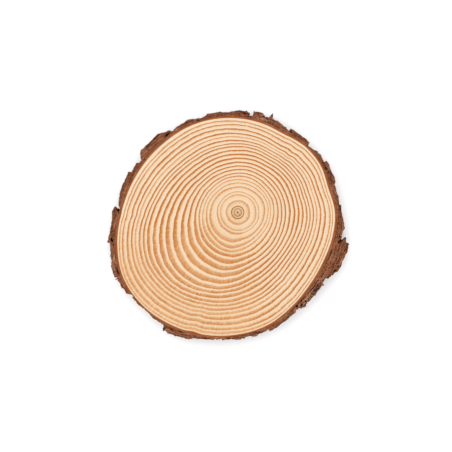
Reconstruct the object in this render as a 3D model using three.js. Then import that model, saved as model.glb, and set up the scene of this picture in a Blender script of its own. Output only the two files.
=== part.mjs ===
// A slice sawn across a young pine trunk, lying flat with its bark still on.
// Millimetres, +Z up. The origin is the centre of the underside's bounding box.
import * as THREE from "three";

const thickness = 12;
const sawnLevels = 4; // outlines between the underside and the top face, plus one
const barkFlare = 0.9; // how far the bark swells out between the two sawn faces
const barkDrift = 0.7; // how far the bark's plates wander on their way down
const plateWaves = 11; // swells of the bark round the trunk
const barkColour = 0x7a4c38;

// The bark's outline at the top face, plate by plate, anticlockwise from +X.
// Each corner is [bearing in degrees, radius in mm] about the pith.
const barkPlates = [
  [[0, 52], [4, 52], [5, 51], [9, 51.2], [16, 50.6]],
  [[17.5, 51.4], [20, 51.6], [25, 51.4], [29.8, 51.7]],
  [[30.4, 50], [34.5, 50.7], [38, 50], [43.4, 48.6]],
  [[44.3, 50.2], [48, 50.2], [50, 49.8], [52, 50.1], [57.6, 49.6], [58, 48.2], [59.6, 48.4]],
  [[60.2, 49.1], [63, 49.3], [66, 49.9], [69.2, 49.9], [70.3, 52.6], [72, 50.3]],
  [[74, 50.2], [76, 51.3], [80.8, 51.5], [81, 48.8], [82.8, 48.6]],
  [[83, 50], [85, 51], [89, 51.1], [94, 50.7]],
  [[95, 50.3], [103, 51.3], [107, 51.6], [109, 50.8], [112, 50.7]],
  [[112.6, 51.2], [114.6, 51.3], [115.2, 52], [118.5, 52.8], [121, 52.3], [125, 52.7], [128.6, 52]],
  [[129.6, 53.5], [132, 54.3], [135, 56], [140, 56.3], [147, 57.5], [149, 57], [150.2, 55.8], [151.8, 54.7]],
  [[153.2, 55.1], [153.8, 56.3], [159, 56.8]],
  [[159.6, 58.5], [163, 58.6], [166, 59.2], [170, 59.9], [176.8, 59.8], [178.3, 59.1], [180.5, 59.5]],
  [[179.2, 60.3], [177.2, 60.8], [177, 61.6], [178.6, 62.2], [179.4, 63.1], [182, 63], [186, 63.7]],
  [[190, 65.3], [192.6, 66.9], [193.4, 65.7], [198, 66.8], [201, 67.7]],
  [[203, 69], [205, 69.6], [207.6, 69.8], [207.9, 68.2], [209.2, 68.2]],
  [[209.6, 69], [216.6, 68.8], [217.6, 67.2], [218.6, 66.8]],
  [[219.2, 67.8], [223, 67.9], [226, 67.4], [232, 67.8], [236.5, 67.3], [238.2, 67.4]],
  [[237, 68.6], [240, 70], [243, 69.2], [249, 68.2], [250.4, 67], [253, 66.2]],
  [[257, 65.4], [260, 64.9], [266, 64.2], [271, 64.2], [275, 62.7]],
  [[279, 62.2], [283, 61.3], [284.6, 60.5], [285.4, 61.8], [288, 61], [291, 60.2], [295, 59.2]],
  [[296.4, 58.5], [300, 58.3], [301, 57.3], [302.6, 57.2]],
  [[303.4, 58], [308, 57.6], [312, 57], [320, 56.7], [320.6, 55.3], [323.2, 55]],
  [[323.8, 56.3], [328.4, 57.4], [329, 58.3], [333, 58.5], [336, 57.8], [340, 58.3], [344, 58.2]],
  [[344.8, 57.3], [344.6, 56.5], [347, 55.3], [345.2, 54.2], [343, 53], [343.4, 52.3]],
  [[346, 53.5], [349, 53.5], [351.5, 54.2], [354, 53.7], [357, 52.8]],
];

function corner([bearing, radius]) {
  const angle = THREE.MathUtils.degToRad(bearing);
  return new THREE.Vector2(radius * Math.cos(angle), radius * Math.sin(angle));
}

// How far outwards the bark stands at a bearing and height, past its outline at the top face.
function swell(angle, height) {
  const depth = 1 - height / thickness;
  const flare = barkFlare * Math.sin(Math.PI * depth);
  const wander = Math.sin(plateWaves * angle + 2 * depth) - Math.sin(plateWaves * angle);
  return flare + barkDrift * wander * Math.sin(3 * angle + 1);
}

function sawnSlice() {
  const outline = new THREE.Shape(barkPlates.flat().map(corner));
  const geometry = new THREE.ExtrudeGeometry(outline, {
    depth: thickness,
    steps: sawnLevels,
    bevelEnabled: false,
  });
  const spots = geometry.getAttribute("position");
  for (let i = 0; i < spots.count; i += 1) {
    const spot = new THREE.Vector3().fromBufferAttribute(spots, i);
    const out = new THREE.Vector3(spot.x, spot.y, 0).normalize();
    spot.addScaledVector(out, swell(Math.atan2(spot.y, spot.x), spot.z));
    spots.setXYZ(i, spot.x, spot.y, spot.z);
  }
  geometry.computeVertexNormals();
  geometry.computeBoundingBox();
  const middle = geometry.boundingBox.getCenter(new THREE.Vector3());
  return geometry.translate(-middle.x, -middle.y, 0);
}

const woodSlice = new THREE.Mesh(
  sawnSlice(),
  new THREE.MeshStandardMaterial({ color: barkColour, roughness: 0.85, metalness: 0 }),
);
woodSlice.name = "wood_slice";

const part = new THREE.Group();
part.add(woodSlice);

export default part;
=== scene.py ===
# A sawn slice of young pine trunk with its bark on, lying on a pale table.
# Sizes are in millimetres where a name or note says so, and in metres everywhere else.
import math

import bmesh
import bpy
import numpy as np
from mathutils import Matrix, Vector, noise
from mathutils.kdtree import KDTree


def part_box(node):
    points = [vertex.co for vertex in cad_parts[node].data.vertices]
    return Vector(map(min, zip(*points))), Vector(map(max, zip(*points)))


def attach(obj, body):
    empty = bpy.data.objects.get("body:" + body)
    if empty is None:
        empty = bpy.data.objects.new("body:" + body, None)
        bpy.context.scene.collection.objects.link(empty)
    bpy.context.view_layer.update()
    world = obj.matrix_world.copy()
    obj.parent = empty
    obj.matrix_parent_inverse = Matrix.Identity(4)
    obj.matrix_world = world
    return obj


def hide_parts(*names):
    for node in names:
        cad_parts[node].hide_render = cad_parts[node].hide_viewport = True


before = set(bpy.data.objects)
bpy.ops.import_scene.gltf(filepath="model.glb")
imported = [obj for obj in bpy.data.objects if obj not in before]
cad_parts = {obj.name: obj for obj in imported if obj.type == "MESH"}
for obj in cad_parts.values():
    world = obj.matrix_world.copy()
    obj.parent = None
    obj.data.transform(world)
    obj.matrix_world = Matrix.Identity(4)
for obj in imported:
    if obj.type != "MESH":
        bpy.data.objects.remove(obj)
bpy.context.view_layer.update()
low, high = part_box("wood_slice")
mm = 0.001
topZ = high.z
hair = 0.0001 * mm  # too small a distance to matter
studioBrightness = 1.45  # how bright a white card looks on the table
glare = 0.01  # light that any dull surface throws back uncoloured
pith = (low + high) / 2 + Vector((4.44, 6.55, 0)) * mm  # the tree's first year, off the middle
pith.z = 0

print("slice: frame loaded,", round(topZ / mm, 2), "mm thick")


def paint(red, green, blue):
    # a colour as it should look on a flat face under the studio light, made linear for the shader
    shares = [c / 255 for c in (red, green, blue)]
    linear = [c / 12.92 if c < 0.04 else ((c + 0.055) / 1.055) ** 2.4 for c in shares]
    return tuple(max(c / studioBrightness - glare, 0.001) for c in linear) + (1.0,)


def ease(start, stop, value):
    # 0 before start, 1 after stop, smooth in between
    t = np.clip((np.asarray(value, float) - start) / (stop - start), 0, 1)
    return t * t * (3 - 2 * t)


def degreesFrom(degrees, bearing):
    # how far each direction is from a bearing, either way round
    return np.abs((np.asarray(degrees) - bearing + 180) % 360 - 180)


def nearBearing(degrees, bearing, spread):
    # 1 at a bearing, falling to 0 at spread degrees to either side
    return 1 - ease(0, spread, degreesFrom(degrees, bearing))


def aroundTrunk(rows, degrees):
    # rows stand evenly round the trunk from +X; smooth closed curves through each of their columns
    rows = np.asarray(rows, float)
    place = np.asarray(degrees) % 360 * len(rows) / 360
    at = np.floor(place).astype(int)
    t = (place - at)[:, None]
    a, b, c, d = (rows[(at + k) % len(rows)] for k in (-1, 0, 1, 2))
    return b + 0.5 * t * (c - a + t * (2 * a - 5 * b + 4 * c - d + t * (3 * (b - c) + d - a)))


def polar(places):
    # bearing in degrees and radius in mm about the pith
    x, y = (places[:, 0] - pith.x) / mm, (places[:, 1] - pith.y) / mm
    return np.degrees(np.arctan2(y, x)) % 360, np.hypot(x, y)


def fromPolar(degrees, radius):
    angle = np.radians(degrees)
    return pith.x + radius * mm * np.cos(angle), pith.y + radius * mm * np.sin(angle)


def direction(bearing):
    angle = math.radians(bearing)
    return math.cos(angle), math.sin(angle), 0


def noiseAt(places, size, seed=0.0, octaves=1):
    # soft noise in about -1 to 1 at each place; size is in the places' own unit and may differ by axis
    scaled = np.asarray(places, float) / np.asarray(size, float) + seed
    if octaves == 1:
        return np.array([noise.noise(p) for p in scaled.tolist()])
    return np.array([noise.fractal(p, 1.0, 2.0, octaves) for p in scaled.tolist()])


def readAll(things, name, kind=int, width=1):
    # one property of every vertex, face corner or face
    values = np.empty(len(things) * width, kind)
    things.foreach_get(name, values)
    return values.reshape(-1, width) if width > 1 else values


def readPlaces(mesh):
    return readAll(mesh.vertices, "co", float, 3)


def writePlaces(mesh, places):
    mesh.vertices.foreach_set("co", np.ascontiguousarray(places, float).ravel())
    mesh.update()


def pointValues(mesh, name, values):
    # a number on every vertex that a material can read by name
    layer = mesh.attributes.new(name, "FLOAT", "POINT")
    layer.data.foreach_set("value", np.asarray(values, np.float32))


def newPiece(name, bm, materials):
    mesh = bpy.data.meshes.new(name)
    bm.to_mesh(mesh)
    bm.free()
    for material in materials:
        mesh.materials.append(material)
    piece = bpy.data.objects.new(name, mesh)
    bpy.context.scene.collection.objects.link(piece)
    return piece


def feed(tree, socket, value):
    # links another node's output to a socket, or sets the socket to a plain value
    if isinstance(value, bpy.types.NodeSocket):
        tree.links.new(value, socket)
    else:
        socket.default_value = value


def put(tree, kind, inputs=None, **settings):
    node = tree.nodes.new("ShaderNode" + kind)
    for name, value in settings.items():
        setattr(node, name, value)
    for name, value in (inputs or {}).items():
        feed(tree, node.inputs[name], value)
    return node


def sums(tree, operation, a, b=0.0, c=0.0, clamp=False):
    node = put(tree, "Math", {0: a, 1: b, 2: c}, operation=operation, use_clamp=clamp)
    return node.outputs[0]


def vectorSum(tree, operation, a, b=(0, 0, 0)):
    return put(tree, "VectorMath", {0: a, 1: b}, operation=operation).outputs[0]


def lengthOf(tree, vector):
    return put(tree, "VectorMath", {0: vector}, operation="LENGTH").outputs["Value"]


def scaleBy(tree, vector, factor):
    return put(tree, "VectorMath", {0: vector, "Scale": factor}, operation="SCALE").outputs[0]


def swing(tree, value, amount, start):
    # start, moved up and down by amount as a 0 to 1 value passes either side of its middle
    return sums(tree, "MULTIPLY_ADD", sums(tree, "SUBTRACT", value, 0.5), amount, start)


def easeNode(tree, value, start, stop, fromValue=0.0, toValue=1.0):
    # a smooth step between two sockets or numbers
    node = put(
        tree,
        "MapRange",
        {"Value": value, "From Min": start, "From Max": stop, "To Min": fromValue, "To Max": toValue},
        interpolation_type="SMOOTHSTEP",
    )
    return node.outputs[0]


def rampNode(tree, value, stops):
    node = put(tree, "ValToRGB", {"Fac": value})
    ramp = node.color_ramp
    ramp.elements[0].position, ramp.elements[0].color = stops[0]
    ramp.elements[1].position, ramp.elements[1].color = stops[-1]
    for place, colour in stops[1:-1]:
        ramp.elements.new(place).color = colour
    return node.outputs[0]


def mixColour(tree, share, a, b):
    node = put(tree, "Mix", data_type="RGBA")
    for name, value in (("Factor", share), ("A", a), ("B", b)):
        kind = "VALUE" if name == "Factor" else "RGBA"
        feed(tree, next(s for s in node.inputs if s.name == name and s.type == kind), value)
    return next(s for s in node.outputs if s.type == "RGBA")


def noiseNode(tree, vector, scale, detail=2.0, roughness=0.5):
    inputs = {"Vector": vector, "Scale": scale, "Detail": detail, "Roughness": roughness}
    return put(tree, "TexNoise", inputs).outputs[0]


def readValue(tree, name):
    return put(tree, "Attribute", attribute_name=name).outputs["Fac"]


def newGroup(name, inputs, outputs):
    group = bpy.data.node_groups.new(name, "ShaderNodeTree")
    for label, kind, value in inputs:
        socket = group.interface.new_socket(name=label, in_out="INPUT", socket_type="NodeSocket" + kind)
        if value is not None:
            socket.default_value = value
    for label, kind in outputs:
        group.interface.new_socket(name=label, in_out="OUTPUT", socket_type="NodeSocket" + kind)
    entry = group.nodes.new("NodeGroupInput")
    leave = group.nodes.new("NodeGroupOutput")
    return group, entry.outputs, leave.inputs


def useGroup(tree, group, inputs):
    node = put(tree, "Group")
    node.node_tree = group
    for name, value in inputs.items():
        feed(tree, node.inputs[name], value)
    return node.outputs


def newMaterial(name):
    material = bpy.data.materials.new(name)
    material.use_nodes = True
    tree = material.node_tree
    shader = next(n for n in tree.nodes if n.type == "BSDF_PRINCIPLED")
    return material, tree, shader


def finishSurface(tree, shader, look, height, colour, roughness=None):
    # colour, sheen and fine relief of a material, from its look; reliefDepth is in mm
    relief = {"Height": height, "Strength": look["relief"], "Distance": look["reliefDepth"] * mm}
    surface = {
        "Base Color": colour,
        "Roughness": look["roughness"] if roughness is None else roughness,
        "Specular IOR Level": look["specular"],
        "Normal": put(tree, "Bump", relief).outputs[0],
    }
    for name, value in surface.items():
        feed(tree, shader.inputs[name], value)


def millimetres(tree):
    # object coordinates in mm, measured from the pith
    spot = put(tree, "TexCoord").outputs["Object"]
    place = put(
        tree,
        "Mapping",
        {"Vector": spot, "Location": tuple(-c / mm for c in pith), "Scale": (1 / mm,) * 3},
    )
    return place.outputs[0]


def makeToneDrift():
    # slow patches of lighter and darker stuff, as a factor near 1
    group, given, result = newGroup(
        "toneDrift",
        [("Place", "Vector", None), ("Patch", "Float", 12.0), ("Amount", "Float", 0.1)],
        [("Factor", "Float")],
    )
    scale = sums(group, "DIVIDE", 1.0, given["Patch"])
    cloud = noiseNode(group, given["Place"], scale, detail=3.0, roughness=0.55)
    change = sums(group, "MULTIPLY", sums(group, "SUBTRACT", cloud, 0.5), given["Amount"])
    group.links.new(sums(group, "MULTIPLY_ADD", change, 2.0, 1.0), result["Factor"])
    return group


def makeFineGrit():
    # pores and saw dust: fine speckle for colour and for bump
    group, given, result = newGroup(
        "fineGrit",
        [("Place", "Vector", None), ("Grain", "Float", 0.4)],
        [("Speckle", "Float"), ("Height", "Float")],
    )
    scale = sums(group, "DIVIDE", 1.0, given["Grain"])
    fine = noiseNode(group, given["Place"], scale, detail=4.0, roughness=0.65)
    group.links.new(easeNode(group, fine, 0.3, 0.7), result["Speckle"])
    group.links.new(fine, result["Height"])
    return group


def makeCorkLayers():
    # the thin layers that bark grows in, which run with the cambium
    group, given, result = newGroup(
        "corkLayers",
        [
            ("Place", "Vector", None),
            ("Depth", "Float", 0.0),
            ("Layer", "Float", 0.6),
            ("Run", "Float", 5.0),
        ],
        [("Layers", "Float"), ("Threads", "Float")],
    )
    warp = noiseNode(group, given["Place"], 0.28, detail=2.0)
    bent = swing(group, warp, 1.2, given["Depth"])
    parts = put(group, "SeparateXYZ", {"Vector": given["Place"]}).outputs
    along = [sums(group, "DIVIDE", parts[axis], given["Run"]) for axis in ("X", "Y")]
    across = sums(group, "DIVIDE", bent, given["Layer"])
    place = put(group, "CombineXYZ", {"X": along[0], "Y": along[1], "Z": across}).outputs[0]
    group.links.new(noiseNode(group, place, 1.0, detail=2.5, roughness=0.6), result["Layers"])
    finer = vectorSum(group, "MULTIPLY", place, (3.0, 3.0, 2.6))
    group.links.new(noiseNode(group, finer, 1.0, detail=3.0, roughness=0.6), result["Threads"])
    return group


toneDrift = makeToneDrift()
fineGrit = makeFineGrit()
corkLayers = makeCorkLayers()


wood = {
    "spokes": 600,
    "loopsPerYear": 2,
    "firstRings": [2.0, 3.05, 5.6, 9.0, 10.3],  # mm from the pith, nearly round
    "firstRingsShift": 0.035,  # how far they lie off centre, as a share of their radius
    "edgeYear": 23.55,  # the last ring was part grown when the tree was felled
    # ring widths in mm along 12 bearings, every 30 degrees anticlockwise from 15 degrees past +X; the
    # first number of a row reaches from the pith to the late wood of year 5
    "ringWidths": [
        [13.7, 1.9, 1.1, 1.6, 2.0, 1.8, 1.7, 2.1, 2.3, 2.0, 1.8, 1.7, 1.4, 1.8, 1.7, 1.6, 1.9, 2.3, 1.3],
        [13.3, 1.8, 1.5, 1.4, 1.8, 2.0, 1.7, 2.1, 2.3, 1.7, 1.8, 1.6, 1.4, 1.7, 1.5, 1.4, 2.1, 2.6, 2.0],
        [12.8, 2.0, 1.6, 1.9, 1.6, 1.9, 1.6, 1.8, 2.1, 1.9, 1.9, 1.7, 1.4, 1.4, 1.6, 1.5, 1.9, 2.4, 1.5],
        [12.6, 2.1, 1.7, 1.6, 1.4, 1.8, 1.7, 2.0, 2.1, 2.1, 1.9, 2.2, 1.4, 1.9, 1.9, 1.7, 2.5, 2.1, 1.8],
        [13.0, 1.5, 1.7, 1.5, 1.7, 2.2, 1.7, 1.8, 2.2, 2.3, 2.2, 2.3, 1.7, 1.8, 2.0, 2.1, 2.5, 2.6, 1.5],
        [13.3, 2.0, 1.6, 1.6, 1.7, 2.4, 2.4, 3.1, 2.8, 2.5, 2.6, 2.8, 1.7, 1.9, 2.4, 1.8, 2.4, 2.7, 1.4],
        [14.2, 1.7, 2.0, 1.8, 2.2, 3.2, 3.5, 3.8, 4.0, 3.3, 3.5, 3.3, 2.2, 2.1, 2.2, 1.8, 2.2, 2.7, 1.5],
        [14.6, 2.2, 2.4, 2.4, 2.8, 4.0, 4.1, 4.7, 4.1, 3.1, 3.0, 2.4, 1.9, 2.2, 2.2, 1.9, 2.8, 3.0, 1.6],
        [14.5, 3.3, 2.1, 2.0, 3.3, 3.6, 3.4, 3.7, 3.3, 2.1, 2.3, 2.7, 1.8, 2.2, 2.0, 2.4, 2.6, 2.8, 1.7],
        [13.4, 2.6, 1.8, 2.3, 2.6, 2.6, 2.2, 2.9, 2.8, 1.9, 2.6, 2.8, 2.1, 1.9, 2.2, 2.5, 3.2, 3.0, 1.8],
        [13.0, 1.9, 1.5, 2.1, 2.6, 2.2, 2.0, 1.9, 2.2, 1.8, 1.8, 1.9, 1.9, 2.1, 2.1, 2.2, 2.6, 2.8, 1.5],
        [13.2, 1.8, 1.4, 1.6, 2.2, 2.0, 1.8, 2.2, 2.3, 2.1, 2.0, 2.1, 1.6, 1.6, 1.7, 1.9, 2.5, 2.7, 1.0],
    ],
    # where the wood meets the bark: mm from the pith, every 15 degrees anticlockwise from +X
    "edgeRadii": [
        48.6, 46.9, 47.6, 47.0, 45.4, 46.1, 47.0, 48.1, 49.3, 50.4, 52.3, 54.8,
        58.0, 62.2, 65.8, 66.4, 65.2, 63.3, 61.0, 58.2, 54.2, 51.0, 49.3, 48.9,
    ],
    # share of each year's ring that is dense late wood, on the upright side of the trunk
    "late": [
        0.24, 0.26, 0.42, 0.36, 0.3, 0.42, 0.36, 0.34, 0.38, 0.38, 0.4, 0.4,
        0.42, 0.44, 0.44, 0.42, 0.42, 0.4, 0.44, 0.34, 0.44, 0.4, 0.34, 0.34,
    ],
    # how dark each year's late wood is, about 1 where it is strong
    "strength": [
        0.6, 0.65, 0.5, 0.5, 0.55, 0.6, 0.62, 0.6, 0.84, 0.96, 1.02, 1.05,
        1.13, 1.15, 1.15, 1.09, 1.07, 1.0, 1.07, 0.7, 1.02, 0.98, 0.95, 0.76,
    ],
    "unevenness": 0.2,  # how much a ring's darkness changes along it
    "leanLate": 0.66,  # share of late wood on the leaning side, where the rings are broad
    "leanSoftness": 0.38,  # how much paler the late wood is there
    "leanSide": 240,  # bearing of the leaning side
    "leanSpread": 74,  # degrees to either side
    # where the outer rings bend in or out: bearing, spread in degrees, mm, first year, share at bark
    "dents": [
        (249.5, 4.5, -0.6, 18, 1.0),
        (48, 3.5, -0.4, 18, 0.1),
        (43, 3.5, 0.25, 18, 0.2),
        (57.5, 3, -0.2, 20, 0.1),
        (181.5, 3, -0.4, 19, 0.3),
        (304, 4, 0.25, 17, 0.2),
    ],
    "pithHollow": 0.25,  # mm
    "sway": 0.3,  # how far rings waver, as a share of a year
    "shiver": 0.13,  # the same on the small scale
    "rayShiver": 0.08,  # the same where rays cross them
    "innerRays": 34.0,  # how dense the rays are near the pith
    "outerRays": 82.0,  # and further out
    "look": {"roughness": 0.66, "specular": 0.15, "relief": 0.5, "reliefDepth": 0.06},
    # dark specks on the sawn face, and the little crack by the pith: bearing, radius, size in mm
    "specks": [
        (243.6, 45.5, 0.55),
        (230.9, 57.6, 0.4),
        (242.9, 50.2, 0.3),
        (65.4, 41.4, 0.35),
        (192, 52, 0.3),
        (310, 1.1, 0.34),
        (309, 1.5, 0.32),
        (308, 1.9, 0.28),
    ],
    "shades": [
        (0.0, paint(248, 224, 197)),
        (0.1, paint(246, 218, 185)),
        (0.26, paint(243, 206, 164)),
        (0.44, paint(234, 186, 140)),
        (0.62, paint(223, 164, 113)),
        (0.8, paint(212, 145, 87)),
        (1.0, paint(198, 121, 61)),
    ],
    "pithBrown": paint(150, 92, 52),
    "inkyBrown": paint(128, 92, 62),
    "speckBrown": paint(134, 78, 44),
}


def ringRadii(degrees):
    # radius in mm of the pith, of each year's late wood and of the bark, one row for each bearing
    edges = np.array(wood["edgeRadii"])[:, None]
    edge = aroundTrunk(edges, degrees)
    coarse = aroundTrunk(edges[1::2], degrees - 15)
    rings = aroundTrunk(np.cumsum(wood["ringWidths"], axis=1), degrees - 15)
    rings *= 1 + (edge / coarse - 1) * ease(0.3, 0.95, rings / coarse)  # outer rings follow the edge
    outer = np.hstack([rings, edge])
    angle = np.radians(degrees)
    inner = np.outer(1 + wood["firstRingsShift"] * np.cos(angle + 0.2), wood["firstRings"])
    return np.hstack([np.zeros((len(angle), 1)), inner, outer])


fullYears = len(wood["firstRings"]) + len(wood["ringWidths"][0])
yearMarks = np.array([-1.0, *range(fullYears), wood["edgeYear"]])


def radiusOf(year, degrees):
    # how far out a growth year lies at a bearing, in mm; year -1 is the pith itself
    radii = ringRadii(degrees)
    at = np.clip(np.searchsorted(yearMarks, year, side="right") - 1, 0, len(yearMarks) - 2)
    share = (year - yearMarks[at]) / (yearMarks[at + 1] - yearMarks[at])
    row = np.arange(len(at))
    radius = radii[row, at] * (1 - share) + radii[row, at + 1] * share
    for bearing, spread, size, first, atBark in wood["dents"]:
        reach = ease(first - 4, first + 3, year) * (1 - (1 - atBark) * ease(20.5, 23.5, year))
        radius += size * nearBearing(degrees, bearing, spread) * reach
    return radius


def woodEdge(degrees):
    return radiusOf(np.full(len(degrees), wood["edgeYear"]), degrees)


def makeWoodFinish():
    material, tree, shader = newMaterial("sawnWood")
    place = millimetres(tree)
    year = readValue(tree, "year")
    late = readValue(tree, "late")
    strength = readValue(tree, "strength")

    # direction and distance from the pith, for what runs along the rays
    flat = vectorSum(tree, "MULTIPLY", place, (1, 1, 0))
    distance = lengthOf(tree, flat)
    heading = vectorSum(tree, "NORMALIZE", flat)

    def rays(count, run):
        outwards = put(tree, "CombineXYZ", {"Z": sums(tree, "MULTIPLY", distance, run)}).outputs[0]
        spread = vectorSum(tree, "ADD", scaleBy(tree, heading, count), outwards)
        return noiseNode(tree, spread, 1.0, roughness=0.6)

    innerRays = rays(wood["innerRays"], 0.25)
    outerRays = rays(wood["outerRays"], 0.35)
    ray = put(
        tree,
        "Mix",
        {"Factor": easeNode(tree, distance, 14.0, 32.0), "A": innerRays, "B": outerRays},
    ).outputs[0]

    # rings waver a little, and shiver where rays cross them
    year = swing(tree, noiseNode(tree, place, 0.22), wood["sway"], year)
    year = swing(tree, noiseNode(tree, place, 1.1), wood["shiver"], year)
    year = swing(tree, ray, wood["rayShiver"], year)

    # 0 just outside one year's late wood, 1 at the outer edge of the next
    season = sums(tree, "FRACT", sums(tree, "MULTIPLY_ADD", late, -0.5, year))
    change = sums(tree, "SUBTRACT", 1.0, late)  # when early wood turns to late wood
    onset = easeNode(tree, season, sums(tree, "ADD", change, -0.16), sums(tree, "ADD", change, 0.12))
    finish = easeNode(tree, season, 0.93, 1.0, 1.0, 0.0)
    ripening = easeNode(tree, season, change, 0.95, 0.76, 1.06)
    dense = sums(tree, "MULTIPLY", sums(tree, "MULTIPLY", onset, finish), ripening)
    fading = easeNode(tree, season, 0.1, change, 0.0, 0.24)  # early wood darkens slowly outwards
    dense = sums(tree, "MULTIPLY", sums(tree, "MAXIMUM", dense, fading), strength)

    # streaks along the rays show most in the dense wood
    shade = swing(tree, ray, sums(tree, "MULTIPLY_ADD", dense, 0.8, 0.36), dense)
    grit = useGroup(tree, fineGrit, {"Place": place, "Grain": 0.6})
    shade = swing(tree, grit["Speckle"], 0.16, shade)
    shade = sums(tree, "ADD", shade, readValue(tree, "seasoning"))
    colour = rampNode(tree, shade, wood["shades"])
    drift = useGroup(tree, toneDrift, {"Place": place, "Patch": 16.0, "Amount": 0.05})
    colour = scaleBy(tree, colour, drift["Factor"])

    # the first two rings are thin and inky, and the pith is a brown dot
    inky = sums(tree, "MULTIPLY", dense, easeNode(tree, distance, 3.2, 3.7, 1.2, 0.0), clamp=True)
    colour = mixColour(tree, inky, colour, wood["inkyBrown"])
    dot = easeNode(tree, distance, 0.3, 0.85, 0.8, 0.0)
    colour = mixColour(tree, dot, colour, wood["pithBrown"])
    specks = 0.0
    for bearing, radius, size in wood["specks"]:
        centre = tuple(radius * part for part in direction(bearing))
        away = lengthOf(tree, vectorSum(tree, "SUBTRACT", flat, centre))
        specks = sums(tree, "MAXIMUM", easeNode(tree, away, 0.3 * size, 1.1 * size, 0.75, 0.0), specks)
    colour = mixColour(tree, specks, colour, wood["speckBrown"])

    # late wood is a little glossier and stands a little proud
    dullness = sums(tree, "MULTIPLY_ADD", dense, -0.1, wood["look"]["roughness"])
    proud = sums(tree, "MULTIPLY_ADD", grit["Height"], 0.35, dense)
    proud = sums(tree, "MULTIPLY_ADD", ray, 0.4, proud)
    finishSurface(tree, shader, wood["look"], proud, colour, dullness)
    return material


def discMap(mesh, rim):
    # the top face as a big disc with the edge as a rim round it, and the underside as a smaller disc
    places = readPlaces(mesh)
    corners = readAll(mesh.loops, "vertex_index")
    counts = readAll(mesh.polygons, "loop_total")
    tilt = np.repeat(readAll(mesh.polygons, "normal", float, 3)[:, 2], counts)
    spots = places[corners]
    middle = (places.min(0) + places.max(0)) / 2
    reach = np.hypot(*(places - middle)[:, :2].T).max() + rim
    offset = (spots - middle)[:, :2]
    outwards = offset / np.maximum(np.hypot(*offset.T), mm)[:, None]
    below = tilt < -0.5
    onSide = np.abs(tilt) <= 0.5
    offset = offset + outwards * (onSide * rim * (1 - spots[:, 2] / topZ))[:, None]
    offset = np.where(below[:, None], offset * (-1, 1), offset)
    bigDisc, smallDisc = 0.33, 0.25
    size = np.where(below, smallDisc, bigDisc) / reach
    centre = np.where(below[:, None], (1 - smallDisc, 1 - smallDisc), (bigDisc, bigDisc))
    layer = mesh.uv_layers.new(name="OFBake")
    layer.uv.foreach_set("vector", (centre + offset * size[:, None]).astype(np.float32).ravel())


def wrapGrid(bm, across, around):
    # a sheet of faces to be wrapped round the trunk; returns its vertices by row and column
    made = bmesh.ops.create_grid(bm, x_segments=across, y_segments=around, size=0.5)["verts"]
    return {(int((v.co.x + 0.5) * across + 0.5), int((v.co.y + 0.5) * around + 0.5)): v for v in made}


def makeWood(finish):
    # the profile of a disc, from the pith over the edge and back, wrapped round the trunk
    years = np.arange(-1, wood["edgeYear"], 1 / wood["loopsPerYear"]).tolist() + [wood["edgeYear"]]
    profile = [(year, topZ) for year in years] + [(year, 0.0) for year in reversed(years)]
    bm = bmesh.new()
    yearLayer = bm.verts.layers.float.new("year")
    for (row, column), vert in wrapGrid(bm, len(profile) - 1, wood["spokes"]).items():
        vert[yearLayer], height = profile[row]
        vert.co = (column * 360 / wood["spokes"] % 360, vert[yearLayer], height)
    piece = newPiece("wood", bm, [finish])
    mesh = piece.data

    places = readPlaces(mesh)
    degrees, year = places[:, 0].copy(), places[:, 1].copy()
    radius = radiusOf(year, degrees)
    places[:, 0], places[:, 1] = fromPolar(degrees, radius)
    hollow = wood["pithHollow"] * mm * (1 - ease(0.2, 0.8, radius))
    places[:, 2] -= np.where(places[:, 2] > topZ / 2, hollow, 0)
    writePlaces(mesh, places)

    # broad pale late wood on the leaning side, palest near the bark
    lean = ease(0.0, 0.7, nearBearing(degrees, wood["leanSide"], wood["leanSpread"]))
    listed = [np.interp(year, np.arange(len(wood[name])), wood[name]) for name in ("late", "strength")]
    late = listed[0] + np.maximum(wood["leanLate"] - listed[0], 0) * lean * ease(2, 7, year)
    pointValues(mesh, "late", late - 0.08 * lean * ease(15, 19, year))
    outer = lean * ease(13, 19, year)
    soft = 1 - wood["leanSoftness"] * lean * ease(3, 12, year) - 0.1 * outer
    along = np.column_stack([places[:, :2] / mm / 11, year * 0.8])
    uneven = 1 + wood["unevenness"] * noiseAt(along, 1.0, 17.0, 2)
    pointValues(mesh, "strength", listed[1] * soft * uneven)
    seasoning = 0.08 * (1 - ease(6, 12, year)) + 0.06 * lean + 0.12 * outer + 0.2 * ease(2.4, 0.6, year)
    pointValues(mesh, "seasoning", seasoning)

    bm = bmesh.new()
    bm.from_mesh(mesh)
    bmesh.ops.remove_doubles(bm, verts=bm.verts, dist=hair)
    bmesh.ops.recalc_face_normals(bm, faces=bm.faces)
    bm.to_mesh(mesh)
    bm.free()
    discMap(mesh, 2 * mm)
    mesh.shade_smooth()
    mesh.set_sharp_from_angle(angle=math.radians(40))
    return piece


woodPiece = makeWood(makeWoodFinish())
print("slice: wood grown,", len(woodPiece.data.polygons), "faces")


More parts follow.
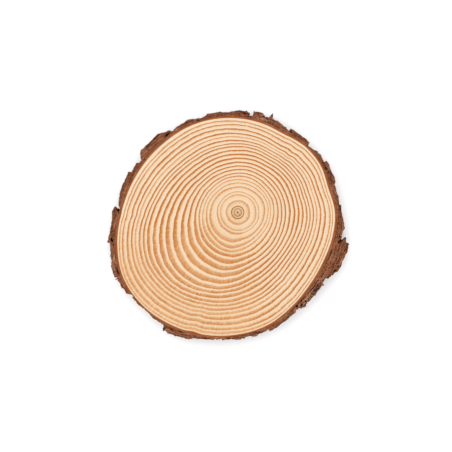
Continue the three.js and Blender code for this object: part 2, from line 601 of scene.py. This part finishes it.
bark = {
    "columnStep": 0.26,  # mm between vertices round the outline
    "levels": 34,
    "ragged": 0.24,  # mm, how far the sawn outline strays from plate to plate
    "splinter": 0.22,  # mm, the finest chips on it
    "drift": 0.5,  # mm, how far the plates wander on their way down
    "setIn": 0.45,  # mm that the scales start behind the sawn outline
    "standOut": 0.07,  # how far lower parts may reach past the sawn outline, for each mm down
    "notchClosing": 0.2,  # share of a notch that closes lower down
    "thinnest": 0.5,  # mm of bark left over the wood
    "scaleThickness": 0.55,  # mm, one papery layer
    "scaleSize": (4.2, 4.2, 5.5),  # mm
    "plateSize": (7.0, 7.0, 12.0),  # mm between deep cracks
    "crackDepth": 1.1,  # mm
    "crackWidth": 0.1,  # share of a plate
    "refineTo": 0.75,  # mm, longest edge inside a cut face
    "refineRounds": 6,
    "smoothRounds": 3,
    "untangleRounds": 25,
    "notchReach": 3.5,  # mm to either side, how far a notch may be from its plates
    "cornerWear": 0.12,  # mm that the saw takes off each sharp corner
    "flakeSearch": 1.6,  # degrees to either side where a flake's tip is looked for
    "underWood": 0.05,  # mm that the bark reaches in under the wood's edge
    "belowWood": 0.02,  # mm that its cut face sits lower
    # broken stretches, where the top corner is gone and the pale inside shows: bearing, spread, mm
    "broken": [(270, 15, 0.5), (310, 13, 0.5), (73, 4, 0.4), (202, 5, 0.3)],
    # thin points on the sawn outline: bearing, spread, mm
    "spikes": [(237.6, 1.1, 1.2), (70.6, 0.8, 0.8), (192.8, 0.8, 0.5), (208.8, 0.5, 1.8)],
    # flakes that end in a tip at the saw cut and are broken off lower down: bearing, length in mm
    "flakes": [(177, 3.6), (346.9, 3.4)],
    # open voids in the cut face: bearing, radius, length, width, depth in mm
    "voids": [
        (192.4, 64.4, 2.4, 1.1, 3.4),
        (194.6, 64.2, 1.0, 0.6, 2.0),
        (26.5, 49.4, 1.4, 0.8, 2.4),
        (206, 67.1, 1.8, 0.7, 2.4),
        (302.2, 55.6, 1.5, 0.8, 2.4),
        (304.6, 56.4, 1.4, 0.8, 2.4),
        (307.4, 56.1, 1.1, 0.6, 2.0),
        (329.0, 56.6, 1.6, 0.8, 3.0),
        (331.6, 57.1, 1.2, 0.7, 2.4),
        (322.5, 52.9, 1.0, 0.5, 1.8),
        (86, 49.4, 1.2, 0.6, 1.8),
        (89, 49.0, 0.8, 0.5, 1.4),
        (132.2, 52.4, 2.9, 0.9, 3.2),
        (150.4, 53.7, 1.1, 0.5, 2.0),
        (113.3, 49.9, 1.4, 0.45, 1.8),
        (56.4, 48.3, 1.4, 0.7, 2.4),
        (240.6, 67.3, 2.6, 0.4, 1.6),
        (244.6, 66.2, 3.2, 0.4, 1.6),
        (266, 63.0, 2.4, 0.5, 1.4),
        (346.6, 52.4, 1.0, 0.7, 2.0),
    ],
    "sawnLook": {"roughness": 0.88, "specular": 0.2, "relief": 0.9, "reliefDepth": 0.5},
    "roughLook": {"roughness": 0.92, "specular": 0.2, "relief": 0.8, "reliefDepth": 0.45},
    # near black, painted as shade into the void walls and the frayed gaps
    "hollow": paint(30, 18, 13),
    # dark brown of the deepest layers and cracks, also used as painted shade in cracks and along the rim
    "crevice": paint(52, 28, 19),
    "umber": paint(96, 55, 37),
    "brown": paint(130, 80, 56),
    "rosy": paint(157, 103, 75),
    "ashen": paint(190, 144, 117),
    "ember": paint(192, 108, 60),
    "innerOrange": paint(176, 100, 54),
    "liveEdge": paint(204, 132, 78),
    "freshWood": paint(198, 162, 138),
}


innerVertex, looseVertex = -1, -2  # stand in for a column number off the bark's outer face
roughIndex, sawnIndex = 0, 1  # the bark's two finishes, in order


def traceOutline():
    # the trunk's outline at the top face, taken from the frame's own part and cut fine
    bm = bmesh.new()
    bm.from_mesh(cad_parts["wood_slice"].data)
    bmesh.ops.remove_doubles(bm, verts=bm.verts, dist=10 * hair)
    top = [f for f in bm.faces if f.normal.z > 0.9 and f.calc_center_median().z > topZ - 0.1 * mm]
    rest = [f for f in bm.faces if f not in set(top)]
    bmesh.ops.delete(bm, geom=rest, context="FACES")
    bmesh.ops.delete(bm, geom=bm.faces[:], context="FACES_KEEP_BOUNDARY")
    for edge in bm.edges[:]:
        cuts = round(edge.calc_length() / (bark["columnStep"] * mm)) - 1
        if cuts > 0:
            bmesh.ops.subdivide_edges(bm, edges=[edge], cuts=cuts)
    return bm


def numberColumns(bm):
    # walks round the outline anticlockwise, numbering its vertices
    column = bm.verts.layers.int.new("column")
    level = bm.verts.layers.int.new("level")
    start = max(bm.verts, key=lambda v: v.co.x)
    ahead = max((e.other_vert(start) for e in start.link_edges), key=lambda v: v.co.y)
    before, now, count = start, ahead, 1
    while now is not start:
        now[column] = count
        step = next(e.other_vert(now) for e in now.link_edges if e.other_vert(now) is not before)
        before, now, count = now, step, count + 1
    return column, level, count


def ragOutline(places):
    # plates chip and splinter at the saw cut
    spots = places / mm
    worn = np.zeros_like(places)
    for axis, seed in ((0, 11.3), (1, 47.9)):
        coarse = noiseAt(spots, 1.7, seed, 3)
        fine = noiseAt(spots, 0.55, seed + 5.1, 2)
        worn[:, axis] = coarse * bark["ragged"] + fine * bark["splinter"]
    degrees = polar(places)[0]
    for bearing, spread, size in bark["spikes"]:
        away = degreesFrom(degrees, bearing)
        worn += np.outer(np.maximum(1 - away / spread, 0) * size, direction(bearing))
    return places + worn * mm


def depthsDown():
    # depths of the side's levels below the top face, closer together by the two saw cuts
    share = np.linspace(0, 1, bark["levels"] + 1)
    return topZ * (share - 0.11 * np.sin(math.tau * share))


def scaleRelief(spots):
    # height in mm of papery scales that lie in steps with lifted lips, for places given in mm
    hills = noiseAt(spots, bark["scaleSize"], 3.7, 4) * 2.6
    step = np.floor(hills)
    part = hills - step
    riser = ease(0.78, 1.0, part)
    lip = 0.35 * np.exp(-part / 0.1) + 0.25 * ease(0.55, 0.78, part) * (1 - riser)
    return (step + riser + lip) * bark["scaleThickness"]


def plateCracks(spots):
    # 1 in the cracks between plates, 0 on them
    size = np.array(bark["plateSize"])
    bent = spots + 0.9 * np.stack([noiseAt(spots, 2.4, s, 2) for s in (1.2, 8.8, 15.1)], 1)
    found = []
    for place in (bent / size).tolist():
        near = noise.voronoi(place)[0]
        found.append(near[1] - near[0])
    return 1 - ease(0.0, bark["crackWidth"] * 2, np.array(found))


def brokenShare(degrees):
    total = np.zeros(len(degrees))
    for bearing, spread, size in bark["broken"]:
        away = degreesFrom(degrees, bearing)
        total += size * (1 - ease(0.5 * spread, spread, away))
    return total


def windowed(values, reach, pick):
    # a running pick over neighbours round a closed loop
    return pick(np.stack([np.roll(values, k) for k in range(-reach, reach + 1, 2)]), axis=0)


def flakePull(outline, degrees, radius):
    # how far each column moves towards the root of its flake, in metres
    pulled = np.zeros((len(outline), 2))
    for bearing, length in bark["flakes"]:
        near = degreesFrom(degrees, bearing) < bark["flakeSearch"]
        tip = int(np.argmax(np.where(near, radius, 0)))
        reach = round(length / bark["columnStep"])
        columns = np.arange(tip - reach, tip + reach + 1) % len(outline)
        root = (outline[columns[0], :2] + outline[columns[-1], :2]) / 2
        weight = ease(0, 0.6, 1 - np.abs(np.arange(-reach, reach + 1)) / reach)
        pulled[columns] += (root - outline[columns, :2]) * weight[:, None] * 0.9
    return pulled


def untangle(row):
    # smooths a level's outline where it crosses itself, until it no longer does or the rounds are up
    for attempt in range(bark["untangleRounds"]):
        tangled = np.zeros(len(row), bool)
        run = np.roll(row, -1, 0) - row
        for apart in range(2, 18):
            gap = np.roll(row, -apart, 0) - row
            otherRun = np.roll(run, -apart, 0)
            area = run[:, 0] * otherRun[:, 1] - run[:, 1] * otherRun[:, 0]
            area = np.where(np.abs(area) < 1e-14, 1e-14, area)
            along = (gap[:, 0] * otherRun[:, 1] - gap[:, 1] * otherRun[:, 0]) / area
            across = (gap[:, 0] * run[:, 1] - gap[:, 1] * run[:, 0]) / area
            met = (along >= 0) & (along <= 1) & (across >= 0) & (across <= 1)
            for start in np.flatnonzero(met):
                tangled[np.arange(start - 1, start + apart + 3) % len(row)] = True
        if not tangled.any():
            break
        between = (np.roll(row, 1, 0) + np.roll(row, -1, 0)) / 2
        row[tangled] += 0.7 * (between - row)[tangled]
    return row


def shapeSide(outline):
    # the bark's outer face: rows are levels from the top down, columns go round
    wear = bark["cornerWear"]
    count = len(outline)
    degrees, radius = polar(outline)
    reach = round(bark["notchReach"] / bark["columnStep"])
    hull = windowed(windowed(radius, reach, np.max), reach, np.mean)
    notch = np.maximum(hull - radius, 0)
    calm = 1 - 0.75 * ease(0.5, 1.6, notch)  # little relief inside a notch
    broken = brokenShare(degrees)
    outwards = np.stack([np.cos(np.radians(degrees)), np.sin(np.radians(degrees))], 1)
    topSpots = np.column_stack([outline[:, :2], np.full(count, topZ)]) / mm

    def driftAt(spots):
        # which way the plates wander, by axis
        return np.stack([noiseAt(spots, (6, 6, 8), seed, 2) for seed in (21.0, 33.0)], 1)

    topDrift = driftAt(topSpots)
    topRelief = scaleRelief(topSpots) - bark["crackDepth"] * plateCracks(topSpots)
    chipping = 1 + 0.8 * noiseAt(topSpots, 1.6, 71.0, 2)
    pulled = flakePull(outline, degrees, radius)
    rows, reliefsWithShade = [], []
    for depth in depthsDown():
        spots = topSpots - (0, 0, depth / mm)
        wander = driftAt(spots) - topDrift
        relief = scaleRelief(spots) - bark["crackDepth"] * plateCracks(spots)
        relief += 0.09 * noiseAt(spots, (0.8, 0.8, 1.6), 5.0, 2)
        held = math.exp(-depth / mm / 1.1)
        rise = (relief - topRelief * held - bark["setIn"] * ease(0, 2, depth / mm)) * calm
        closing = bark["notchClosing"] * ease(0.5, 9, depth / mm)
        closing = closing * ease(-0.3, 0.5, noiseAt(spots, (7, 7, 9), 90.0))
        rise += closing * notch
        furthest = 0.06 + bark["standOut"] * depth / mm + broken * ease(0.8, 3, depth / mm)
        rise = np.where(rise > furthest, furthest + 0.15 * (rise - furthest), rise)
        rise -= broken * chipping * math.exp(-depth / mm / 1.3)
        rise -= wear * math.exp(-depth / mm / wear)
        rise -= wear * math.exp(-(topZ - depth) / mm / wear)
        row = outline[:, :2] + outwards * (rise * mm)[:, None]
        row += wander * bark["drift"] * mm * calm[:, None] * ease(0, 5, depth / mm)
        row += pulled * ease(0.8, 3.5, depth / mm)
        turned, out = polar(row)
        out = np.maximum(out, woodEdge(turned) + bark["thinnest"])
        row = untangle(np.stack(fromPolar(turned, out), 1))
        rows.append(np.column_stack([row, np.full(count, topZ - depth)]))
        # painted shade and light: the open part of a notch is made darker, the ledge that closes it
        # lower down lighter
        reliefsWithShade.append(relief + 0.4 * closing * notch - 0.35 * notch * (1 - closing))
    return np.array(rows), np.array(reliefsWithShade), broken


def makeSawnBarkFinish():
    # thin cork layers, orange next to the wood, with painted shade in its holes, in its frayed gaps and
    # along its outer rim
    material, tree, shader = newMaterial("sawnBark")
    place = millimetres(tree)
    depth = readValue(tree, "fromWood")
    rim = readValue(tree, "fromRim")
    frayed = readValue(tree, "frayed")
    layers = useGroup(tree, corkLayers, {"Place": place, "Depth": depth, "Layer": 0.62, "Run": 7.0})
    grit = useGroup(tree, fineGrit, {"Place": place, "Grain": 0.7})
    drift = useGroup(tree, toneDrift, {"Place": place, "Patch": 5.0, "Amount": 0.2})
    tone = sums(tree, "MULTIPLY", layers["Layers"], 0.56)
    tone = sums(tree, "MULTIPLY_ADD", layers["Threads"], 0.44, tone)
    tone = swing(tree, grit["Speckle"], 0.14, tone)
    contrast = sums(tree, "MULTIPLY_ADD", frayed, 0.9, 1.0)
    tone = swing(tree, tone, contrast, 0.468)
    tone = sums(tree, "MULTIPLY_ADD", frayed, 0.07, tone)
    stops = [(0.33, "crevice"), (0.39, "umber"), (0.46, "brown"), (0.54, "rosy"), (0.64, "ashen")]
    colour = rampNode(tree, tone, [(at, bark[name]) for at, name in stops])
    ember = noiseNode(tree, vectorSum(tree, "ADD", place, (7, 3, 1)), 1.35, 2.0, 0.6)
    colour = mixColour(tree, easeNode(tree, ember, 0.56, 0.72, 0.0, 0.6), colour, bark["ember"])
    wavy = swing(tree, layers["Threads"], 1.3, depth)
    colour = mixColour(tree, easeNode(tree, wavy, 0.35, 1.5, 0.74, 0.0), colour, bark["innerOrange"])
    colour = mixColour(tree, easeNode(tree, wavy, 0.0, 0.4, 0.55, 0.0), colour, bark["liveEdge"])
    # painted shade: the cut face darkens along its outer rim, where the corner crumbles away
    rimShade = swing(tree, grit["Height"], 1.5, rim)
    colour = mixColour(tree, easeNode(tree, rimShade, 0.0, 0.55, 0.5, 0.0), colour, bark["crevice"])
    # painted shade: on frayed stretches the darkest layers are drawn as near-black gaps
    gap = easeNode(tree, tone, 0.38, 0.46, 1.0, 0.0)
    gap = sums(tree, "MULTIPLY", gap, frayed)
    # void walls and frayed gaps are painted near black, as shade
    holeShade = sums(tree, "MAXIMUM", readValue(tree, "voidShade"), gap)
    colour = mixColour(tree, holeShade, colour, bark["hollow"])
    colour = scaleBy(tree, colour, drift["Factor"])
    finishSurface(tree, shader, bark["sawnLook"], tone, colour)
    return material


def makeRoughBarkFinish():
    # brown scales over dark cracks, pale where the bark is freshly broken; the cracks are darkened
    # partly as painted shade
    material, tree, shader = newMaterial("roughBark")
    place = millimetres(tree)
    relief = readValue(tree, "relief")
    fresh = readValue(tree, "fresh")
    standing = vectorSum(tree, "MULTIPLY", place, (1, 1, 0.4))
    layers = useGroup(tree, corkLayers, {"Place": standing, "Depth": relief, "Layer": 0.35, "Run": 3.0})
    grit = useGroup(tree, fineGrit, {"Place": standing, "Grain": 0.8})
    drift = useGroup(tree, toneDrift, {"Place": place, "Patch": 6.0, "Amount": 0.2})
    # low relief is darker and high relief lighter: partly the bark's own tone, partly painted shade in
    # the cracks
    tone = easeNode(tree, relief, -1.3, 1.3, 0.27, 0.71)
    tone = swing(tree, layers["Layers"], 0.5, tone)
    tone = swing(tree, grit["Height"], 0.45, tone)
    stops = [(0.16, "crevice"), (0.34, "umber"), (0.5, "brown"), (0.64, "rosy"), (0.82, "ashen")]
    colour = rampNode(tree, tone, [(at, bark[name]) for at, name in stops])
    pale = rampNode(tree, grit["Speckle"], [(0.1, bark["rosy"]), (0.9, bark["freshWood"])])
    colour = mixColour(tree, fresh, colour, pale)
    colour = scaleBy(tree, colour, drift["Factor"])
    height = sums(tree, "MULTIPLY_ADD", layers["Threads"], 0.6, grit["Height"])
    finishSurface(tree, shader, bark["roughLook"], height, colour)
    return material


def cutVoids(bm, holeShade):
    # small open holes where cork layers came apart, their walls marked to be painted near black as
    # shade; returns the edges of their rims
    rims = []
    for index, (bearing, radius, length, width, depth) in enumerate(bark["voids"]):
        made = bmesh.ops.create_circle(bm, cap_ends=False, radius=1.0, segments=14)["verts"]
        out = Vector(direction(bearing))
        along = Vector((-out.y, out.x, 0))
        x, y = fromPolar(bearing, radius)
        centre = Vector((x, y, 0))
        for vert in made:
            wobble = 1 + 0.65 * noise.noise((vert.co.x * 1.1 + index * 3, vert.co.y * 1.1, 7.0))
            part = out * vert.co.x * width / 2 + along * vert.co.y * length / 2
            vert.co = centre + part * wobble * mm + Vector((0, 0, topZ - bark["belowWood"] * mm))
        edges = list({e for v in made for e in v.link_edges})
        rims += edges
        for share, shrink in ((0.35, 0.88), (0.75, 0.8), (1.0, 0.5)):
            edges, verts = extrudeRim(bm, edges)[:2]
            for vert in verts:
                flat = Vector((vert.co.x - centre.x, vert.co.y - centre.y, 0)) * shrink
                vert.co = centre + flat + Vector((0, 0, topZ - depth * share * mm))
                # this wall is painted near black, as shade down the hole
                vert[holeShade] = 1.0
        bmesh.ops.contextual_create(bm, geom=edges)
    return rims


def extrudeRim(bm, edges):
    # the new loop's edges and vertices, and the faces between the two loops
    new = bmesh.ops.extrude_edge_only(bm, edges=edges)["geom"]
    verts = {g for g in new if isinstance(g, bmesh.types.BMVert)}
    faces = [g for g in new if isinstance(g, bmesh.types.BMFace)]
    return [g for g in new if isinstance(g, bmesh.types.BMEdge) and set(g.verts) <= verts], verts, faces


def facesIn(bm, height):
    # the faces that lie flat at a height
    return [f for f in bm.faces if all(abs(v.co.z - height) < hair for v in f.verts)]


def fillCutFace(bm, edges, height):
    # a flat face between the loops, with its long edges cut down so that it can carry relief
    bmesh.ops.triangle_fill(bm, use_beauty=True, use_dissolve=False, edges=edges)
    fixed = set(edges)
    for attempt in range(bark["refineRounds"]):
        inside = {e for f in facesIn(bm, height) for e in f.edges} - fixed
        long = [e for e in inside if e.calc_length() > bark["refineTo"] * mm]
        if not long:
            break
        bmesh.ops.subdivide_edges(bm, edges=long, cuts=1)
        bmesh.ops.triangulate(bm, faces=[f for f in facesIn(bm, height) if len(f.verts) > 3])
        faces = facesIn(bm, height)
        inside = {e for f in faces for e in f.edges} - fixed
        bmesh.ops.beautify_fill(bm, faces=faces, edges=list(inside), method="AREA")
    return facesIn(bm, height)


def smoothInside(bm, faces, rims, column):
    # evens out a cut face away from its rims, and marks the vertices that may carry relief
    held = {v for e in rims for v in e.verts}
    loose = [v for v in {v for f in faces for v in f.verts} if v not in held]
    for attempt in range(bark["smoothRounds"]):
        bmesh.ops.smooth_vert(bm, verts=loose, factor=0.5, use_axis_x=True, use_axis_y=True)
    for vert in loose:
        vert[column] = looseVertex


def makeBark(finishes):
    bm = traceOutline()
    column, level, count = numberColumns(bm)
    # marks the void walls, which are painted near black as shade
    holeShade = bm.verts.layers.float.new("voidShade")
    outline = np.zeros((count, 3))
    for vert in bm.verts:
        outline[vert[column]] = vert.co
    outline = ragOutline(outline)
    rows, reliefsWithShade, broken = shapeSide(outline)
    print("slice: bark outline has", count, "columns")

    top, bottom = topZ - bark["belowWood"] * mm, bark["belowWood"] * mm
    rows[0, :, 2], rows[-1, :, 2] = top, bottom
    topOuter = bm.edges[:]
    for vert in bm.verts:
        vert.co = rows[0, vert[column]]

    # the inner wall stands just inside the wood's edge
    inner = bmesh.ops.create_circle(bm, cap_ends=False, radius=1.0, segments=wood["spokes"])["verts"]
    bearings = np.degrees([math.atan2(v.co.y, v.co.x) for v in inner]) % 360
    xs, ys = fromPolar(bearings, woodEdge(bearings) - bark["underWood"])
    for vert, x, y in zip(inner, xs, ys):
        vert.co = (x, y, top)
        vert[column] = innerVertex
    topInner = list({e for v in inner for e in v.link_edges})
    topRims = topOuter + topInner + cutVoids(bm, holeShade)
    topFaces = fillCutFace(bm, topRims, top)
    smoothInside(bm, topFaces, topRims, column)
    bottomInner, verts = extrudeRim(bm, topInner)[:2]
    for vert in verts:
        vert.co.z = bottom

    # the side grows down level by level
    side, edges = [], topOuter
    for number in range(1, bark["levels"] + 1):
        edges, verts, faces = extrudeRim(bm, edges)
        side += faces
        for vert in verts:
            vert[level] = number
            vert.co = rows[number, vert[column]]
    bottomFaces = fillCutFace(bm, edges + bottomInner, bottom)
    smoothInside(bm, bottomFaces, edges + bottomInner, column)
    print("slice: cut faces filled with", len(topFaces), "and", len(bottomFaces), "faces")

    for face in bm.faces:
        face.material_index = sawnIndex
    for face in side:
        face.material_index = roughIndex
    bmesh.ops.recalc_face_normals(bm, faces=bm.faces)
    piece = newPiece("bark", bm, finishes)
    finishBark(piece.data, outline, reliefsWithShade, broken)
    return piece


def finishBark(mesh, outline, reliefsWithShade, broken):
    places = readPlaces(mesh)
    total = len(places)
    column, level = (readAll(mesh.attributes[name].data, "value") for name in ("column", "level"))
    degrees, radius = polar(places)
    fromWood = radius - woodEdge(degrees)
    tree = KDTree(len(outline))
    for number, spot in enumerate(outline):
        tree.insert((spot[0], spot[1], 0), number)
    tree.balance()
    fromRim = np.array([tree.find((x, y, 0))[2] for x, y in places[:, :2].tolist()]) / mm
    onSide = (column >= 0) & (level > 0)
    fromRim[column >= 0] = 0

    # cork layers sink a little below the saw cut, and the outer corner crumbles
    loose = column == looseVertex
    spots = places / mm
    layered = np.column_stack([spots[:, 0] / 4, spots[:, 1] / 4, fromWood / 0.7])
    ridges = noiseAt(layered[loose], 1.0, 13.0, 2)
    crumble = noiseAt(spots[loose], 1.1, 29.0, 2)
    fall = 0.1 * ridges * ease(0.2, 0.9, fromWood[loose])
    fall = fall - 0.3 * ease(0.0, 0.5, crumble) * (1 - ease(0.3, 1.2, fromRim[loose]))
    way = np.where(places[loose, 2] > topZ / 2, 1, -1)
    places[loose, 2] += way * np.minimum(fall, 0.0) * mm
    writePlaces(mesh, places)

    relief = np.zeros(total)
    relief[onSide] = reliefsWithShade[level[onSide], column[onSide]]
    rims = (column >= 0) & (level == 0)
    relief[rims] = reliefsWithShade[0, column[rims]]
    fresh = np.zeros(total)
    depth = (topZ - places[:, 2]) / mm
    fresh[onSide] = np.clip(broken[column[onSide]], 0, 1) * (1 - ease(1.5, 3.8, depth[onSide]))
    speckle = noiseAt(spots, (1.5, 1.5, 1.2), 61.0, 2)
    pointValues(mesh, "relief", relief)
    pointValues(mesh, "fresh", np.clip(fresh * (0.9 + 0.9 * speckle), 0, 1))
    pointValues(mesh, "fromWood", fromWood)
    share = fromWood / np.maximum(fromWood + fromRim, 0.1)
    pointValues(mesh, "frayed", np.clip(brokenShare(degrees) * 2, 0, 1) * ease(0.25, 0.5, share))
    pointValues(mesh, "fromRim", fromRim)
    barkMap(mesh, column, level, degrees, fromWood, len(outline))
    mesh.shade_smooth()
    mesh.set_sharp_from_angle(angle=math.radians(50))


def cornerShare(vertexTurn, first, corners, rows):
    # for each face corner: its row of strips and its place along it, from turns round the trunk
    start = vertexTurn[corners[first]][:, None]
    row = np.minimum((start * rows).astype(int), rows - 1)
    counts = np.diff(np.append(first, len(corners)))
    start, row = np.repeat(start, counts), np.repeat(row, counts)
    turn = start + (vertexTurn[corners] - start + 0.5) % 1 - 0.5
    return row, np.clip(turn * rows - row, -0.02, 1.02)


def barkMap(mesh, column, level, degrees, fromWood, count):
    # the bark unrolled into rows of strips: outer side, top face, underside and hidden inner wall
    rows = 3
    corners = readAll(mesh.loops, "vertex_index")
    first = readAll(mesh.polygons, "loop_start")
    finishIndex = readAll(mesh.polygons, "material_index")
    height = readPlaces(mesh)[:, 2] / topZ
    lowest = np.minimum.reduceat(height[corners], first)
    highest = np.maximum.reduceat(height[corners], first)
    counts = np.diff(np.append(first, len(corners)))
    outer, top, under, wall = range(4)
    cases = [finishIndex == roughIndex, highest - lowest > 0.9, lowest > 0.5]
    kind = np.select(cases, [outer, wall, top], under)
    kind = np.repeat(kind, counts)
    sideRow, sideAlong = cornerShare(column / count, first, corners, rows)
    faceRow, faceAlong = cornerShare(degrees / 360, first, corners, rows)
    row = np.where(kind == outer, sideRow, faceRow)
    along = np.where(kind == outer, sideAlong, faceAlong)
    widest = fromWood.max() - fromWood.min()
    outwards = (fromWood[corners] - fromWood.min()) / widest
    down = level[corners] / bark["levels"]
    across = np.select([kind == outer, kind == wall], [down, height[corners]], outwards)
    stripStart = np.array([0.01, 0.43, 0.7, 0.965])[kind]
    stripEnd = np.array([0.41, 0.68, 0.95, 0.99])[kind]
    margin = 0.015
    up = (row + stripStart + across * (stripEnd - stripStart)) / rows
    places = np.stack([margin + (1 - 2 * margin) * along, up], 1)
    layer = mesh.uv_layers.new(name="OFBake")
    layer.uv.foreach_set("vector", places.astype(np.float32).ravel())


sawnBark = makeSawnBarkFinish()
roughBark = makeRoughBarkFinish()
barkPiece = makeBark([roughBark, sawnBark])
print("slice: bark grown,", len(barkPiece.data.polygons), "faces")

for piece, slot in ((woodPiece, "cut_wood"), (barkPiece, "bark")):
    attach(piece, "root")
    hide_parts("wood_slice")


studio = {
    "floorColour": (0.97, 0.97, 0.97, 1),
    "floorSide": 6.0,
    "skyColour": (1.0, 1.0, 1.0, 1),
    "skyStrength": 1.2,
    "lampPlace": (-0.25, 0.3, 1.05),
    "lampSide": 1.2,
    "lampWatts": 5.0,
    "lens": 100.0,  # mm
    "sensor": 36.0,  # mm
    "viewWidth": 226.0,  # mm across the picture at the top face
    "viewCentre": (-5.8, -6.8),  # mm from the pith
}


def makeStudio():
    bm = bmesh.new()
    bmesh.ops.create_grid(bm, x_segments=1, y_segments=1, size=studio["floorSide"] / 2)
    finish, tree, shader = newMaterial("paleTable")
    shader.inputs["Base Color"].default_value = studio["floorColour"]
    shader.inputs["Roughness"].default_value = 0.9
    shader.inputs["Specular IOR Level"].default_value = 0.1
    newPiece("table", bm, [finish])

    world = bpy.data.worlds.new("studioSky")
    world.use_nodes = True
    sky = next(n for n in world.node_tree.nodes if n.type == "BACKGROUND")
    sky.inputs["Color"].default_value = studio["skyColour"]
    sky.inputs["Strength"].default_value = studio["skyStrength"]
    bpy.context.scene.world = world

    lamp = bpy.data.lights.new("softbox", "AREA")
    lamp.size = studio["lampSide"]
    lamp.energy = studio["lampWatts"]
    lampObject = bpy.data.objects.new("softbox", lamp)
    lampObject.location = studio["lampPlace"]
    lampObject.rotation_euler = (-Vector(studio["lampPlace"])).to_track_quat("-Z", "Y").to_euler()
    bpy.context.scene.collection.objects.link(lampObject)

    camera = bpy.data.cameras.new("overhead")
    camera.lens = studio["lens"]
    camera.sensor_width = studio["sensor"]
    camera.clip_start = 0.01
    cameraObject = bpy.data.objects.new("overhead", camera)
    distance = studio["viewWidth"] * mm * studio["lens"] / studio["sensor"]
    cameraObject.location = (
        pith.x + studio["viewCentre"][0] * mm,
        pith.y + studio["viewCentre"][1] * mm,
        topZ + distance,
    )
    bpy.context.scene.collection.objects.link(cameraObject)
    bpy.context.scene.camera = cameraObject
    bpy.context.scene.view_settings.view_transform = "Standard"
    print("slice: camera", round(distance, 3), "m above the top face")


makeStudio()
